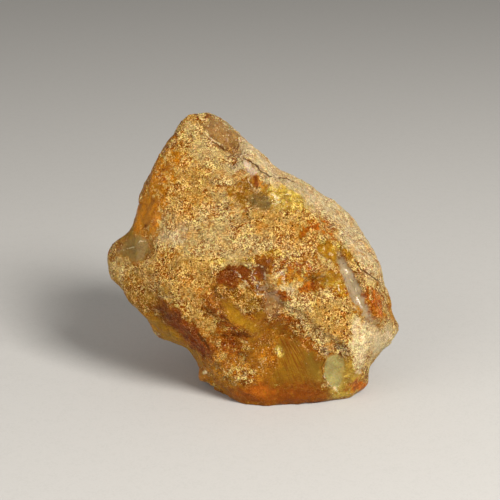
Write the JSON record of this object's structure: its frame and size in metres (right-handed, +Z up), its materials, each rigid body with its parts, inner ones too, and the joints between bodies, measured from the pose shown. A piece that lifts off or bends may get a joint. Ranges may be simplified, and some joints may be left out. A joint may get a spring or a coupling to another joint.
{
  "type": "raw copal lump",
  "caption": "Rough lump of raw copal resin, leaning to a blunt peak, with a speckled rind, cleaved faces and clear honey-coloured breaks, resting on a flat patch of its underside",
  "frame": {"origin": "the middle of the box that holds the lump, at the height of the face that it rests on", "axes": "+Z is up from the resting face, +X runs along the lump's length towards its pointed right foot, and +Y goes through its thickness to the back, so the broad speckled face looks along -Y"},
  "size_m": [0.0408, 0.0274, 0.037],
  "materials": {
    "copal": "cloudy honey-coloured resin: a matt, pale, rust-speckled rind over most of it, glossy and clear where it is broken"
  },
  "bodies": {
    "root": {"copal_lump": "copal"}
  },
  "joints": []
}
